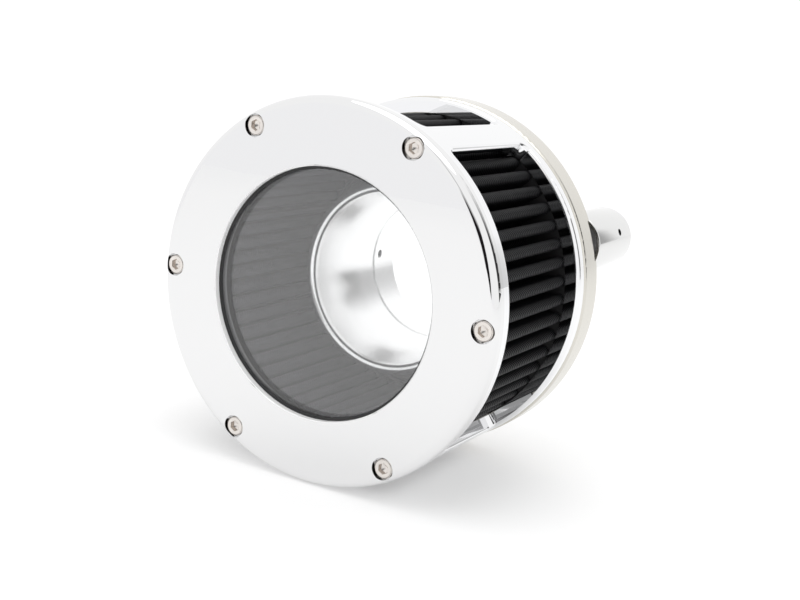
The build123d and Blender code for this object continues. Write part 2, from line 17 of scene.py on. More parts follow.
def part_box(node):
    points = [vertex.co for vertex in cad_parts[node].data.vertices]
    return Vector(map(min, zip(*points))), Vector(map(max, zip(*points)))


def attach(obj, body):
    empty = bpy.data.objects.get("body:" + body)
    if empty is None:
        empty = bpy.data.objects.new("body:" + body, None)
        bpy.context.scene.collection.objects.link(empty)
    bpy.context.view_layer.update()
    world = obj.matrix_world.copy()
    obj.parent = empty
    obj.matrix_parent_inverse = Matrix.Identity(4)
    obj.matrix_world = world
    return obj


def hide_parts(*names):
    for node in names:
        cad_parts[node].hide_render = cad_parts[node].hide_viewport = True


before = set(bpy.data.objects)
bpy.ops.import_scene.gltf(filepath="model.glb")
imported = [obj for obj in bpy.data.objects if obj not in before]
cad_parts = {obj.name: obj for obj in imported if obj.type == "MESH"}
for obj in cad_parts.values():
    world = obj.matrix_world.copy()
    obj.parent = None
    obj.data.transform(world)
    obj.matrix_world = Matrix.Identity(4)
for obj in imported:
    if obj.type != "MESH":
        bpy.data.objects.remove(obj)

LOG = logging.getLogger("air_cleaner")
MM = 0.001
NEAR = 0.01 * MM       # two places closer than this are the same edge
WELD = 0.001 * MM      # points closer than this are one point
FACING = 0.9           # a face whose normal has this much of Y looks along Y
Colour = tuple[float, float, float]
Place = tuple[float, float, float]
Corner = tuple[float, float]
WHITE: Colour = (1.0, 1.0, 1.0)


# ------------------------------------------------------------------ shader sheets
class Signal:
    """A shader socket whose Python operators add Math nodes."""

    def __init__(self, sheet: "Sheet", socket: bpy.types.NodeSocket) -> None:
        """Keep the socket and the sheet it belongs to."""
        self.sheet = sheet
        self.socket = socket

    def math(self, operation: str, *others: "Value") -> "Signal":
        """Run one Math node on this signal.

        Args:
            operation: the Math node's operation.
            others: its second and third input, where it has them.

        Returns:
            The result as a signal.
        """
        inputs = dict(enumerate((self, *others)))
        made = self.sheet.node("ShaderNodeMath", {"operation": operation}, inputs)
        return Signal(self.sheet, made.outputs[0])

    def reversed_math(self, operation: str, first: "Value") -> "Signal":
        """Run one Math node with another value in front of this signal.

        Args:
            operation: the Math node's operation.
            first: the value that comes first.

        Returns:
            The result as a signal.
        """
        made = self.sheet.node("ShaderNodeMath", {"operation": operation}, {0: first, 1: self})
        return Signal(self.sheet, made.outputs[0])

    def __add__(self, other: "Value") -> "Signal":
        """Sum."""
        return self.math("ADD", other)

    def __sub__(self, other: "Value") -> "Signal":
        """Difference."""
        return self.math("SUBTRACT", other)

    def __rsub__(self, other: "Value") -> "Signal":
        """Difference, with the value first."""
        return self.reversed_math("SUBTRACT", other)

    def __mul__(self, other: "Value") -> "Signal":
        """Product."""
        return self.math("MULTIPLY", other)

    def __truediv__(self, other: "Value") -> "Signal":
        """Quotient."""
        return self.math("DIVIDE", other)

    def __pow__(self, other: "Value") -> "Signal":
        """Power."""
        return self.math("POWER", other)

    def __abs__(self) -> "Signal":
        """Size without its sign."""
        return self.math("ABSOLUTE")

    def sine(self) -> "Signal":
        """Sine of an angle in radians."""
        return self.math("SINE")

    def fenced(self, low: float, high: float) -> "Signal":
        """Signal kept between two numbers."""
        return self.math("MAXIMUM", low).math("MINIMUM", high)


Value = Union[float, int, Colour, Signal, bpy.types.NodeSocket]


class Sheet:
    """Node sheet of one material or of the world."""

    def __init__(self, tree: bpy.types.NodeTree) -> None:
        """Start from an empty tree."""
        self.tree = tree
        tree.nodes.clear()

    def node(
        self, kind: str, settings: Optional[dict] = None, inputs: Optional[dict] = None
    ) -> bpy.types.Node:
        """Add one node.

        Args:
            kind: the node's type.
            settings: its settings, set first.
            inputs: values or links by the input's name or number.

        Returns:
            The node.
        """
        made = self.tree.nodes.new(kind)
        for name, value in (settings or {}).items():
            setattr(made, name, value)
        for key, value in (inputs or {}).items():
            self.feed(made.inputs[key], value)
        return made

    def feed(self, socket: bpy.types.NodeSocket, value: Value) -> None:
        """Give a socket a link or a plain value.

        Args:
            socket: the input.
            value: a signal, another node's output, a number or a colour.
        """
        if isinstance(value, Signal):
            self.tree.links.new(value.socket, socket)
        elif isinstance(value, bpy.types.NodeSocket):
            self.tree.links.new(value, socket)
        elif socket.type == "RGBA" and len(value) == 3:
            socket.default_value = (*value, 1.0)
        else:
            socket.default_value = value

    def signal(self, node: bpy.types.Node, output: Union[int, str] = 0) -> Signal:
        """One output of a node as a signal."""
        return Signal(self, node.outputs[output])

    def place(self) -> bpy.types.NodeSocket:
        """Object coordinates."""
        return self.node("ShaderNodeTexCoord").outputs["Object"]

    def axes(self, place: bpy.types.NodeSocket) -> list[Signal]:
        """The three components of a place or a direction."""
        parts = self.node("ShaderNodeSeparateXYZ", inputs={0: place})
        return [self.signal(parts, k) for k in range(3)]

    def noise(self, place: bpy.types.NodeSocket, scale: float, detail: float = 2.0) -> Signal:
        """Noise about 0.5 over a place."""
        inputs = {"Vector": place, "Scale": scale, "Detail": detail}
        return self.signal(self.node("ShaderNodeTexNoise", inputs=inputs))

    def blend(self, share: Value, first: Value, second: Value) -> bpy.types.NodeSocket:
        """Mix two colours.

        Args:
            share: how much of the second there is, from 0 to 1.
            first: the colour at 0.
            second: the colour at 1.

        Returns:
            The mixed colour.
        """
        made = self.node("ShaderNodeMix", {"data_type": "RGBA"}, {0: share, 6: first, 7: second})
        return made.outputs[2]

    def bump(self, height: Signal, depth: float, strength: float = 1.0) -> bpy.types.NodeSocket:
        """Normal that follows a height from 0 to 1, whose full depth is in metres."""
        inputs = {"Height": height, "Distance": depth, "Strength": strength}
        return self.node("ShaderNodeBump", inputs=inputs).outputs[0]

    def finish(self, shader: bpy.types.Node) -> None:
        """Join a shader to the material's output."""
        output = self.node("ShaderNodeOutputMaterial")
        self.tree.links.new(shader.outputs[0], output.inputs["Surface"])


# ------------------------------------------------------------------ finishes
def dimmed(colour: Colour, share: float) -> Colour:
    """A colour darkened to a share of itself."""
    return tuple(part * share for part in colour)


@dataclass(frozen=True)
class Finish:
    """A finish that can be put on pieces and CAD nodes."""

    name: str
    slot: str

    def shade(self, sheet: Sheet) -> None:
        """Build the finish's nodes; each kind of finish has its own.

        Args:
            sheet: the material's empty sheet.
        """
        raise NotImplementedError

    def material(self) -> bpy.types.Material:
        """The finish's material, made the first time it is asked for.

        Returns:
            The material.
        """
        found = bpy.data.materials.get(self.name)
        if found is None:
            found = bpy.data.materials.new(self.name)
            found.use_nodes = True
            self.shade(Sheet(found.node_tree))
        return found

    def dress(self, piece: bpy.types.Object) -> None:
        """Make this the piece's only material."""
        piece.data.materials.clear()
        piece.data.materials.append(self.material())

    def dress_nodes(self, *names: str) -> None:
        """Put the finish on CAD nodes.

        Args:
            names: the nodes.
        """
        for name in names:
            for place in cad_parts[name].material_slots:
                place.material = self.material()
            LOG.info("%s keeps its CAD mesh, finish %s", name, self.name)


@dataclass(frozen=True)
class Chrome(Finish):
    """Mirror chrome with a faint ripple and a thin polishing haze."""

    colour: Colour = (0.835, 0.838, 0.845)
    gloss: float = 0.02
    haze: float = 0.05
    haze_start: float = 0.42        # cloud level above which the haze shows
    cloud_scale: float = 28.0
    grain_scale: float = 1400.0
    ripple_scale: float = 38.0
    ripple_depth: float = 0.03 * MM

    def roughness(self, sheet: Sheet, place: bpy.types.NodeSocket) -> Signal:
        """Spread patches of haze over the polish.

        Args:
            sheet: the material's sheet.
            place: where each point is.

        Returns:
            The roughness.
        """
        cloud = sheet.noise(place, self.cloud_scale, 3.0)
        grain = sheet.noise(place, self.grain_scale)
        patches = (cloud - self.haze_start).fenced(0.0, 1.0) * grain
        return patches * self.haze * 2.0 + self.gloss

    def ripple(self, sheet: Sheet, place: bpy.types.NodeSocket) -> bpy.types.NodeSocket:
        """Normal of the faintly wavy surface."""
        return sheet.bump(sheet.noise(place, self.ripple_scale, 1.0), self.ripple_depth)

    def shade(self, sheet: Sheet) -> None:
        """Build the finish's nodes."""
        place = sheet.place()
        sheet.finish(sheet.node("ShaderNodeBsdfPrincipled", inputs={
            "Base Color": self.colour,
            "Metallic": 1.0,
            "Roughness": self.roughness(sheet, place),
            "Normal": self.ripple(sheet, place),
        }))


@dataclass(frozen=True)
class BoredChrome(Chrome):
    """Chrome whose window bore is left as bright bare metal."""

    bore: float = 0.0
    bare: Colour = (0.93, 0.93, 0.93)
    bare_gloss: float = 0.4         # roughness that the bare metal adds
    bare_paint: float = 0.9         # how much less of a mirror it is
    edge: float = 0.05 * MM         # width over which the one turns into the other

    def shade(self, sheet: Sheet) -> None:
        """Build the finish's nodes."""
        place = sheet.place()
        x, _, z = sheet.axes(place)
        bare = ((self.bore - (x * x + z * z) ** 0.5) * (1.0 / self.edge)).fenced(0.0, 1.0)
        sheet.finish(sheet.node("ShaderNodeBsdfPrincipled", inputs={
            "Base Color": sheet.blend(bare, self.colour, self.bare),
            "Metallic": 1.0 - bare * self.bare_paint,
            "Roughness": self.roughness(sheet, place) + bare * self.bare_gloss,
            "Normal": self.ripple(sheet, place),
        }))


class Lay(Enum):
    """Direction in which a tool left its marks."""

    ROUND = "round"      # rings about the air path
    FACING = "facing"    # rings across a flat face


@dataclass(frozen=True)
class Turned(Finish):
    """Bare metal with fine tool marks round the air path."""

    colour: Colour = (0.985, 0.985, 0.985)
    gloss: float = 0.24
    marks: float = 0.1
    mark_depth: float = 0.012 * MM
    lay: Lay = Lay.ROUND
    marks_per_metre: float = 1000.0
    drift_per_metre: float = 60.0   # slow change of the marks outwards
    cloud_scale: float = 30.0
    dull: float = 0.93              # share of the colour left in the duller clouds

    def shade(self, sheet: Sheet) -> None:
        """Build the finish's nodes."""
        place = sheet.place()
        x, y, z = sheet.axes(place)
        radius = (x * x + z * z) ** 0.5
        along = y if self.lay is Lay.ROUND else radius
        line = sheet.node("ShaderNodeCombineXYZ", inputs={
            0: along * self.marks_per_metre, 1: radius * self.drift_per_metre,
        })
        marks = sheet.noise(line.outputs[0], 2.6, 4.0)
        cloud = sheet.noise(place, self.cloud_scale, 3.0)
        sheet.finish(sheet.node("ShaderNodeBsdfPrincipled", inputs={
            "Base Color": sheet.blend(cloud, dimmed(self.colour, self.dull), self.colour),
            "Metallic": 1.0,
            "Roughness": marks * self.marks + (self.gloss - self.marks * 0.5),
            "Normal": sheet.bump(marks, self.mark_depth),
        }))


@dataclass(frozen=True)
class Stainless(Finish):
    """Warm grey fastener steel with a fine grain."""

    colour: Colour = (0.80, 0.755, 0.715)
    gloss: float = 0.15
    grain: float = 0.14             # roughness that the grain adds at most
    grain_scale: float = 2600.0
    grain_depth: float = 0.012 * MM
    cloud_scale: float = 260.0
    dull: float = 0.82              # share of the colour left in the duller clouds

    def shade(self, sheet: Sheet) -> None:
        """Build the finish's nodes."""
        place = sheet.place()
        grain = sheet.noise(place, self.grain_scale, 2.0)
        cloud = sheet.noise(place, self.cloud_scale, 3.0)
        sheet.finish(sheet.node("ShaderNodeBsdfPrincipled", inputs={
            "Base Color": sheet.blend(cloud, dimmed(self.colour, self.dull), self.colour),
            "Metallic": 1.0,
            "Roughness": grain * self.grain + self.gloss,
            "Normal": sheet.bump(grain, self.grain_depth),
        }))


@dataclass(frozen=True)
class Rubber(Finish):
    """Black moulded rubber with a fine pebbled skin."""

    colour: Colour = (0.012, 0.012, 0.013)
    dust: Colour = (0.035, 0.034, 0.033)
    dust_scale: float = 70.0
    skin_scale: float = 1500.0
    skin_depth: float = 0.04 * MM

    def shade(self, sheet: Sheet) -> None:
        """Build the finish's nodes."""
        place = sheet.place()
        skin = sheet.noise(place, self.skin_scale, 3.0)
        share = (sheet.noise(place, self.dust_scale, 4.0) - 0.4).fenced(0.0, 0.4)
        sheet.finish(sheet.node("ShaderNodeBsdfPrincipled", inputs={
            "Base Color": sheet.blend(share, self.colour, self.dust),
            "Roughness": skin * 0.2 + 0.45,
            "Normal": sheet.bump(skin, self.skin_depth),
        }))


@dataclass(frozen=True)
class Gauze(Finish):
    """Black pleated gauze under a woven wire screen; the weave follows the piece's UV map; the
    inward faces of the inner folds are paler, with painted light.
    """

    colour: Colour = (0.003, 0.003, 0.0035)
    wire_colour: Colour = (0.016, 0.016, 0.018)
    # painted light: the pale colour given to the inward faces of the inner folds
    painted_light_inside: Colour = (0.085, 0.083, 0.094)
    inner_radius: float = 57.5 * MM     # the painted light is inside this radius
    inner_edge: float = 2.5 * MM        # width over which the painted light fades out
    wire_pitch: float = 1.6 * MM
    wire_depth: float = 0.4 * MM
    counter: float = 0.55               # height of the wires that lean the other way
    wear_scale: float = 160.0

    def shade(self, sheet: Sheet) -> None:
        """Build the finish's nodes."""
        flat = sheet.node("ShaderNodeUVMap", {"uv_map": "weave"}).outputs[0]
        across, along, _ = sheet.axes(flat)
        step = math.pi / self.wire_pitch
        slant = abs(((along + across) * step).sine())
        counter = abs(((along - across) * step).sine())
        wire = slant.math("MAXIMUM", counter * self.counter)
        share = ((wire - 0.5) * 2.2).fenced(0.0, 1.0)
        worn = sheet.noise(sheet.place(), self.wear_scale, 4.0)
        outside = sheet.blend(share * (worn * 1.6 - 0.1), self.colour, self.wire_colour)
        # painted light: inward faces of the inner folds turn paler than the black gauze, standing
        # in for light inside the chamber
        tone = sheet.blend(self.painted_light_share(sheet), outside, self.painted_light_inside)
        sheet.finish(sheet.node("ShaderNodeBsdfPrincipled", inputs={
            "Base Color": tone,
            "Roughness": 0.62 - share * 0.2,
            "Specular IOR Level": 0.1,
            "Normal": sheet.bump(wire, self.wire_depth, 0.8),
        }))

    def painted_light_share(self, sheet: Sheet) -> Signal:
        """Share of the painted light on the inner side, from where a face stands and which way it
        looks.

        Args:
            sheet: the material's sheet.

        Returns:
            0 on the outside of the folds and up to 1 on the inside, where the light is painted.
        """
        coordinates = sheet.node("ShaderNodeTexCoord")
        x, _, z = sheet.axes(coordinates.outputs["Object"])
        way_x, _, way_z = sheet.axes(coordinates.outputs["Normal"])
        radius = (x * x + z * z) ** 0.5
        outwards = (way_x * x + way_z * z) / radius
        near = ((self.inner_radius - radius) * (1.0 / self.inner_edge)).fenced(0.0, 1.0)
        return near * (0.3 - outwards * 2.0).fenced(0.0, 1.0)


@dataclass(frozen=True)
class ClearLens(Finish):
    """Clear window: see-through, with the mirror of its polished faces."""

    head_on: float = 0.085          # share mirrored when looked at straight
    tint: Colour = (0.985, 0.988, 0.99)
    polish: float = 0.02

    def shade(self, sheet: Sheet) -> None:
        """Build the finish's nodes."""
        weight = sheet.node("ShaderNodeLayerWeight", inputs={"Blend": 0.5})
        facing = sheet.signal(weight, "Facing")
        mirror = facing ** 5.0 * (1.0 - self.head_on) + self.head_on
        clear = sheet.node("ShaderNodeBsdfTransparent", inputs={"Color": self.tint})
        gloss = sheet.node("ShaderNodeBsdfGlossy", inputs={
            "Color": WHITE, "Roughness": self.polish,
        })
        sheet.finish(sheet.node("ShaderNodeMixShader", inputs={
            0: mirror, 1: clear.outputs[0], 2: gloss.outputs[0],
        }))


@dataclass(frozen=True)
class StudioPaper(Finish):
    """Pale seamless paper with a little light of its own; it darkens towards the front."""

    colour: Colour = (0.68, 0.68, 0.681)
    far_colour: Colour = (0.58, 0.585, 0.60)
    glow: float = 0.33
    fall_start: float = -0.72       # y where it starts to darken
    fall_length: float = 0.7
    fibre: float = 0.992            # share of the colour left between the fibres
    fibre_scale: float = 60.0

    def shade(self, sheet: Sheet) -> None:
        """Build the finish's nodes."""
        place = sheet.place()
        _, y, _ = sheet.axes(place)
        fall = ((self.fall_start - y) / self.fall_length).fenced(0.0, 1.0)
        fibres = sheet.noise(place, self.fibre_scale, 4.0)
        near = sheet.blend(fibres, dimmed(self.colour, self.fibre), self.colour)
        sheet.finish(sheet.node("ShaderNodeBsdfPrincipled", inputs={
            "Base Color": sheet.blend(fall, near, self.far_colour),
            "Roughness": 0.9,
            "Specular IOR Level": 0.1,
            "Emission Color": WHITE,
            "Emission Strength": self.glow,
        }))


CHROME = Chrome("mirror_chrome", "chrome")
FACE = BoredChrome("face_chrome", "chrome", (0.785, 0.785, 0.787), bore=49.1 * MM)
SATIN = Chrome("satin_plate", "chrome", (0.65, 0.63, 0.58), gloss=0.18, haze=0.08)
STEM = Chrome("satin_stem", "chrome", (0.73, 0.73, 0.725), gloss=0.12, haze=0.06)
SPUN = Turned("spun_aluminium", "polished_aluminium")
FACED = Turned(
    "faced_aluminium", "machined_aluminium", (0.66, 0.67, 0.68),
    gloss=0.26, marks=0.2, mark_depth=0.02 * MM, lay=Lay.FACING)
RETAINER = Turned(
    "dark_anodised", "machined_aluminium", (0.20, 0.20, 0.205),
    gloss=0.35, mark_depth=0.01 * MM, lay=Lay.FACING)
STEEL = Stainless("fastener_steel", "stainless")
RUBBER = Rubber("moulded_rubber", "black_rubber")
STRIP = Rubber("seam_plastic", "black_plastic", (0.008, 0.008, 0.009))
GAUZE = Gauze("pleated_gauze", "filter_gauze")
LENS = ClearLens("window_clear", "clear_lens")


# ------------------------------------------------------------------ modelling bench
def deselect() -> None:
    """Leave edit mode and deselect every object."""
    if bpy.context.object is not None and bpy.context.object.mode != "OBJECT":
        bpy.ops.object.mode_set(mode="OBJECT")
    bpy.ops.object.select_all(action="DESELECT")


def edit(piece: bpy.types.Object) -> None:
    """Open one piece in edit mode with nothing in it selected.

    Args:
        piece: the piece.
    """
    deselect()
    piece.select_set(True)
    bpy.context.view_layer.objects.active = piece
    bpy.ops.object.mode_set(mode="EDIT")
    bpy.ops.mesh.select_all(action="DESELECT")


def pick(piece: bpy.types.Object, kind: str, wanted: Callable[..., bool]) -> None:
    """Select the vertices, edges or faces of the open piece that pass a test.

    Args:
        piece: the piece that is open in edit mode.
        kind: VERT, EDGE or FACE.
        wanted: a test that takes an element's centre and, for a face, its normal.
    """
    bpy.ops.mesh.select_all(action="DESELECT")
    bpy.ops.mesh.select_mode(type=kind)
    bpy.ops.object.mode_set(mode="OBJECT")
    points = piece.data.vertices
    if kind == "VERT":
        for point in points:
            point.select = wanted(point.co, None)
    elif kind == "EDGE":
        for line in piece.data.edges:
            start, end = (points[k].co for k in line.vertices)
            line.select = wanted((start + end) / 2, None)
    else:
        for side in piece.data.polygons:
            side.select = wanted(side.center, side.normal)
    bpy.ops.object.mode_set(mode="EDIT")


def settle(piece: bpy.types.Object, name: str) -> bpy.types.Object:
    """Close edit mode, name the piece and put its place into its mesh.

    Args:
        piece: the piece.
        name: its name.

    Returns:
        The piece.
    """
    deselect()
    piece.name = name
    piece.data.name = name
    piece.select_set(True)
    bpy.context.view_layer.objects.active = piece
    bpy.ops.object.transform_apply(location=True, rotation=True, scale=True)
    return piece


def modify(piece: bpy.types.Object, kind: str, **settings: object) -> None:
    """Add a modifier and apply it.

    Args:
        piece: the piece.
        kind: the modifier's type.
        settings: its settings.
    """
    deselect()
    piece.select_set(True)
    bpy.context.view_layer.objects.active = piece
    made = piece.modifiers.new(kind.lower(), kind)
    for key, value in settings.items():
        setattr(made, key, value)
    bpy.ops.object.modifier_apply(modifier=made.name)


def smooth(piece: bpy.types.Object, degrees: float) -> None:
    """Shade a piece smooth across edges flatter than an angle.

    Args:
        piece: the piece.
        degrees: the angle.
    """
    deselect()
    piece.select_set(True)
    bpy.context.view_layer.objects.active = piece
    bpy.ops.object.shade_smooth_by_angle(angle=math.radians(degrees))


def outward(piece: bpy.types.Object) -> None:
    """Merge doubled points of a closed piece and turn its faces outwards.

    Args:
        piece: the piece.
    """
    edit(piece)
    bpy.ops.mesh.select_all(action="SELECT")
    bpy.ops.mesh.remove_doubles(threshold=WELD)
    bpy.ops.mesh.normals_make_consistent(inside=False)
    deselect()


def copy_of(piece: bpy.types.Object, name: str, shift: Vector) -> bpy.types.Object:
    """Copy a piece with its own mesh and move the copy.

    Args:
        piece: the piece to copy.
        name: the copy's name.
        shift: how far the copy moves.

    Returns:
        The copy.
    """
    deselect()
    piece.select_set(True)
    bpy.context.view_layer.objects.active = piece
    bpy.ops.object.duplicate(linked=False)
    made = bpy.context.object
    made.location = shift
    return settle(made, name)


def arc(middle: Corner, radius: float, start: float, end: float, steps: int) -> list[Corner]:
    """Corners along an arc in the plane of radius and depth.

    Args:
        middle: the arc's centre, as (radius, y).
        radius: the arc's own radius.
        start: first angle in degrees, from the outward direction towards +Y.
        end: last angle in degrees.
        steps: how many straight steps it is drawn in.

    Returns:
        The corners, both ends included.
    """
    angles = [math.radians(start + (end - start) * k / steps) for k in range(steps + 1)]
    return [(middle[0] + radius * math.cos(a), middle[1] + radius * math.sin(a)) for a in angles]


def lathe(
    name: str, corners: Sequence[Corner], sides: int, middle: Corner = (0.0, 0.0)
) -> bpy.types.Object:
    """Draw a ring from corner to corner about an axis along Y, and close it on itself.

    Args:
        name: the piece's name.
        corners: the closed section, as (radius, y).
        sides: how many sides the ring has.
        middle: (x, z) of the axis.

    Returns:
        The piece.
    """
    deselect()
    start_r, start_y = corners[0]
    centre = (middle[0], start_y, middle[1])
    bpy.ops.mesh.primitive_circle_add(
        vertices=sides, radius=start_r, location=centre, rotation=(math.pi / 2, 0, 0))
    piece = bpy.context.object
    bpy.ops.object.transform_apply(location=True, rotation=True, scale=True)
    bpy.ops.object.mode_set(mode="EDIT")
    bpy.ops.mesh.select_mode(type="EDGE")
    bpy.ops.mesh.select_all(action="SELECT")
    for (r0, y0), (r1, y1) in zip(corners, corners[1:]):
        bpy.ops.mesh.extrude_region_move(TRANSFORM_OT_translate={"value": (0, y1 - y0, 0)})
        ratio = r1 / r0
        bpy.ops.transform.resize(
            value=(ratio, 1, ratio), center_override=(middle[0], y1, middle[1]))
    bpy.ops.mesh.select_all(action="DESELECT")
    bpy.ops.mesh.select_non_manifold()
    bpy.ops.mesh.bridge_edge_loops()
    settle(piece, name)
    outward(piece)
    return piece


def fit(piece: bpy.types.Object, finish: Finish, body: str, node: str) -> None:
    """Dress a new piece, set it on its body and let it stand for a CAD node.

    Args:
        piece: the piece.
        finish: its finish.
        body: the body that it rides on.
        node: the CAD node that it replaces.
    """
    finish.dress(piece)
    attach(piece, body)
    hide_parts(node)


# ------------------------------------------------------------------ sub-assemblies
class FaceCover:
    """Face ring with its window, gasket and retainer; all of it is CAD."""

    def build(self) -> None:
        """Dress the cover's nodes."""
        FACE.dress_nodes("front_ring")
        RUBBER.dress_nodes("lens_gasket")
        LENS.dress_nodes("window_lens")
        RETAINER.dress_nodes("lens_retainer")
        STEEL.dress_nodes("lens_retainer_screws")


@dataclass
class CoverScrews:
    """Six socket head screws round the face."""

    count: int = 6
    circle: float = 69.5 * MM
    head_radius: float = 3.95 * MM
    head_height: float = 3.5 * MM
    shank_radius: float = 2.4 * MM
    hex_flats: float = 3.97 * MM
    hex_depth: float = 2.2 * MM
    drill_point: float = 0.5 * MM       # cone that the drill leaves under the socket
    tip_chamfer: float = 0.4 * MM
    tip_share: float = 0.8              # radius of the tip's end face over the shank's
    face_inset: float = 0.3 * MM
    rim_round: float = 0.55 * MM
    edge_break: float = 0.06 * MM
    body: str = "screws"

    def model(self, front: float, tip: float) -> bpy.types.Object:
        """Model one screw on the +X side of the face.

        Args:
            front: y of the head's front face.
            tip: y of the shank's end.

        Returns:
            The screw.
        """
        deselect()
        middle = (self.circle, front + self.head_height / 2, 0)
        bpy.ops.mesh.primitive_cylinder_add(
            vertices=48, radius=self.head_radius, depth=self.head_height,
            location=middle, rotation=(math.pi / 2, 0, 0))
        screw = settle(bpy.context.object, "cover_screw")
        edit(screw)
        pick(screw, "FACE", lambda centre, normal: normal.y > FACING)
        bpy.ops.mesh.inset(thickness=self.head_radius - self.shank_radius)
        length = tip - front - self.head_height
        for step in (length - self.tip_chamfer, self.tip_chamfer):
            bpy.ops.mesh.extrude_region_move(TRANSFORM_OT_translate={"value": (0, step, 0)})
        bpy.ops.transform.resize(
            value=(self.tip_share, 1, self.tip_share), center_override=(self.circle, tip, 0))
        pick(screw, "FACE", lambda centre, normal: normal.y < -FACING)
        bpy.ops.mesh.inset(thickness=self.face_inset)
        deselect()
        self.cut_socket(screw, front)
        edit(screw)
        self.round_rim(screw, front)
        deselect()
        modify(screw, "BEVEL", width=self.edge_break, segments=2, limit_method="ANGLE",
               angle_limit=math.radians(40))
        smooth(screw, 30.0)
        return screw

    def cut_socket(self, screw: bpy.types.Object, front: float) -> None:
        """Cut the hexagonal socket with its drilled floor.

        Args:
            screw: the screw.
            front: y of the head's front face.
        """
        deselect()
        corner = self.hex_flats / math.sqrt(3)
        bpy.ops.mesh.primitive_cylinder_add(
            vertices=6, radius=corner, depth=self.hex_depth * 2,
            location=(self.circle, front, 0), rotation=(math.pi / 2, 0, 0))
        drill = settle(bpy.context.object, "socket_drill")
        edit(drill)
        pick(drill, "FACE", lambda centre, normal: normal.y > FACING)
        bpy.ops.mesh.extrude_region_move(
            TRANSFORM_OT_translate={"value": (0, self.drill_point, 0)})
        bpy.ops.transform.resize(value=(0.1, 1, 0.1), center_override=(self.circle, front, 0))
        deselect()
        modify(screw, "BOOLEAN", operation="DIFFERENCE", solver="EXACT", object=drill)
        bpy.data.objects.remove(drill)

    def round_rim(self, screw: bpy.types.Object, front: float) -> None:
        """Bevel the head's outer front edge.

        Args:
            screw: the screw, open in edit mode.
            front: y of the head's front face.
        """
        def on_rim(centre: Vector, _: object) -> bool:
            """Test for an edge on the rim."""
            reach = math.hypot(centre.x - self.circle, centre.z)
            return abs(centre.y - front) < NEAR and reach > self.head_radius * 0.97

        pick(screw, "EDGE", on_rim)
        bpy.ops.mesh.bevel(offset=self.rim_round, segments=5, affect="EDGES")

    def build(self) -> None:
        """Model one screw and stand its copies round the face."""
        low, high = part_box("cover_screws")
        first = self.model(low.y, high.y)
        screws = [first]
        for k in range(1, self.count):
            angle = 2 * math.pi * k / self.count
            shift = Vector((self.circle * (math.cos(angle) - 1), 0, self.circle * math.sin(angle)))
            screws.append(copy_of(first, f"cover_screw_{k + 1}", shift))
        first.name = "cover_screw_1"
        for screw in screws:
            fit(screw, STEEL, self.body, "cover_screws")
        LOG.info("cover screws: %d copies of one model", self.count)


class Cage:
    """One-piece chrome cage and its screws; all of it is CAD."""

    def build(self) -> None:
        """Dress the cage's nodes."""
        CHROME.dress_nodes("cage")
        STEEL.dress_nodes("cage_screws")


